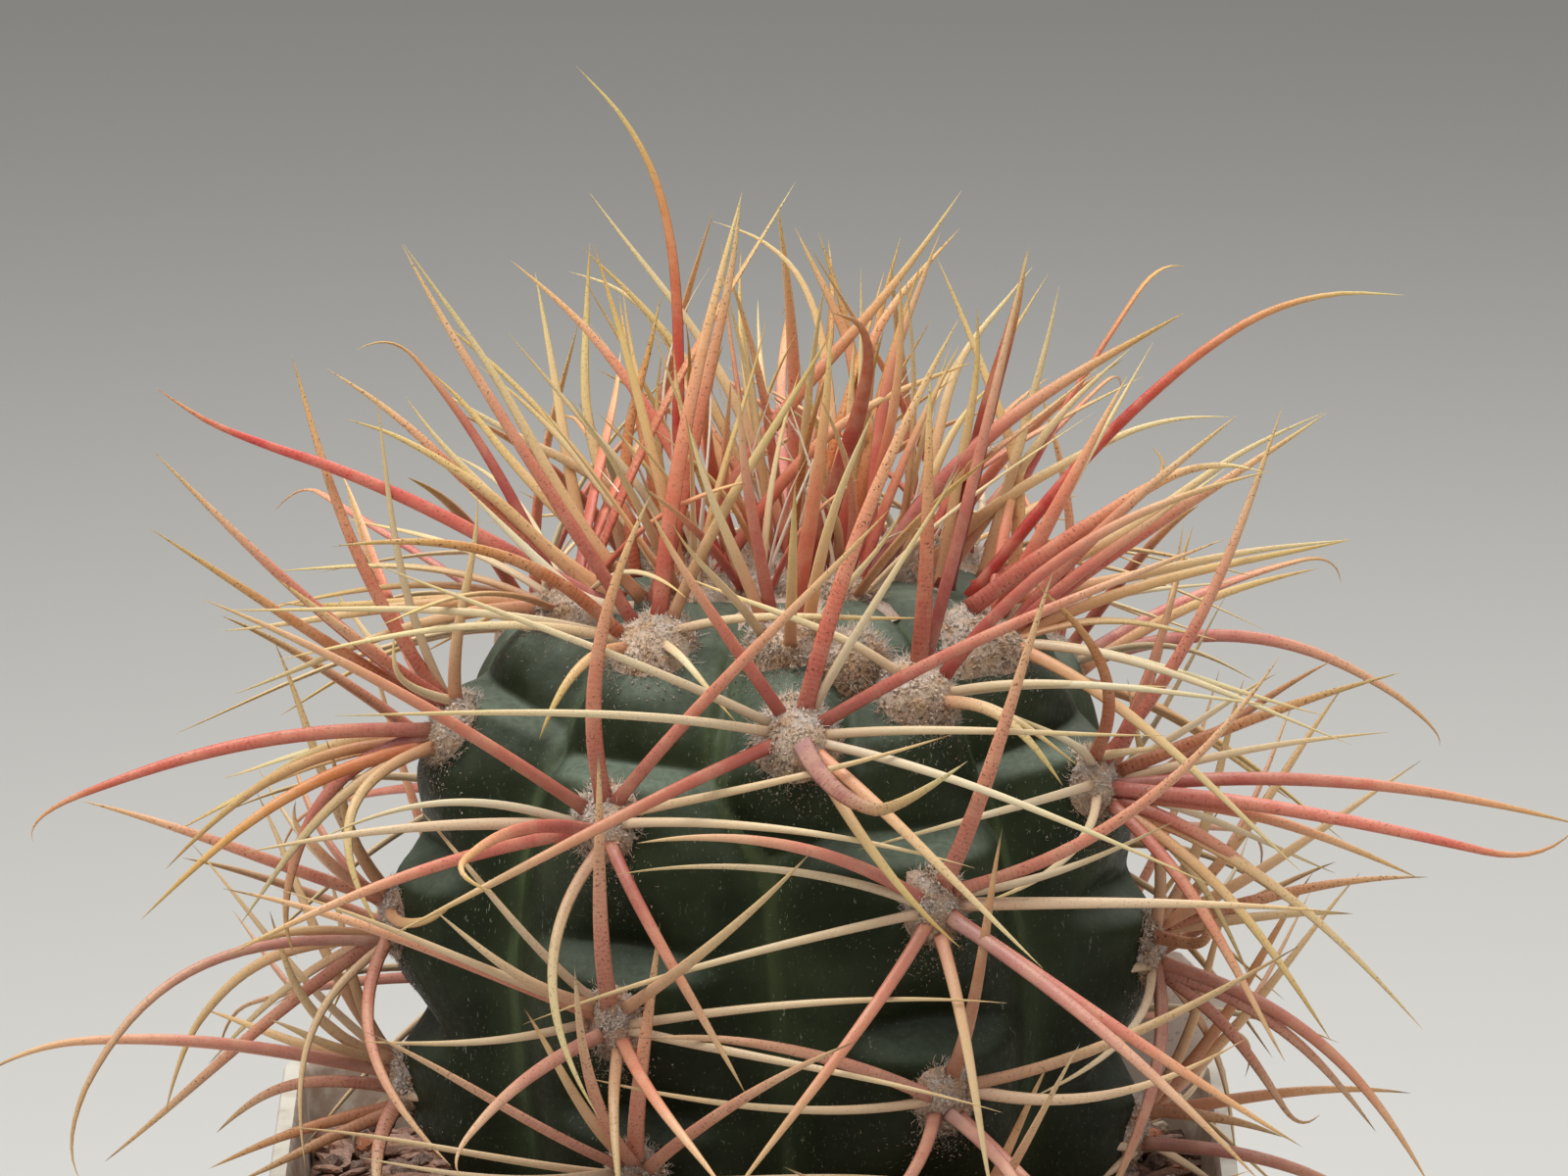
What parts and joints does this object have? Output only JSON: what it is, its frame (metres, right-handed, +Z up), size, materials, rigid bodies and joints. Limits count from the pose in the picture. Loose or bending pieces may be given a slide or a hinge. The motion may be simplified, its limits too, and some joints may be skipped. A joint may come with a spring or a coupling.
{
  "type": "potted compass barrel cactus",
  "caption": "Young ribbed barrel cactus with felted areoles and long hooked, ringed spines round a woolly crown, in a square plastic pot of gravelly soil.",
  "frame": {"origin": "centre of the pot's flat underside", "axes": "+Z up, the front of the plant as pictured faces -Y, +X to the right"},
  "size_m": [0.229, 0.1892, 0.2894],
  "materials": {
    "pot": "satin",
    "soil": "rough",
    "label": "satin",
    "skin": "satin",
    "spines": "satin",
    "young_spines": "satin",
    "felt": "matte"
  },
  "bodies": {
    "root": {"pot": "pot", "soil": "soil", "label": "label", "barrel": "skin", "crown": "young_spines", "areole_left_1": "spines", "areole_left_2": "spines", "areole_left_3": "spines", "areole_left_4": "spines", "areole_front_left_1": "spines", "areole_front_left_2": "spines", "areole_front_left_3": "spines", "areole_front_left_4": "spines", "areole_front_right_1": "spines", "areole_front_right_2": "spines", "areole_front_right_3": "spines", "areole_front_right_4": "spines", "areole_right_1": "spines", "areole_right_2": "spines", "areole_right_3": "spines", "areole_right_4": "spines", "areole_back_right_1": "spines", "areole_back_right_2": "spines", "areole_back_right_3": "spines", "areole_back_right_4": "spines", "areole_back_1": "spines", "areole_back_2": "spines", "areole_back_3": "spines", "areole_back_4": "spines", "areole_back_left_1": "spines", "areole_back_left_2": "spines", "areole_back_left_3": "spines", "areole_front_middle_1": "spines", "areole_front_middle_2": "spines", "areole_back_middle_1": "spines", "areole_rear_left_1": "spines"}
  },
  "joints": []
}
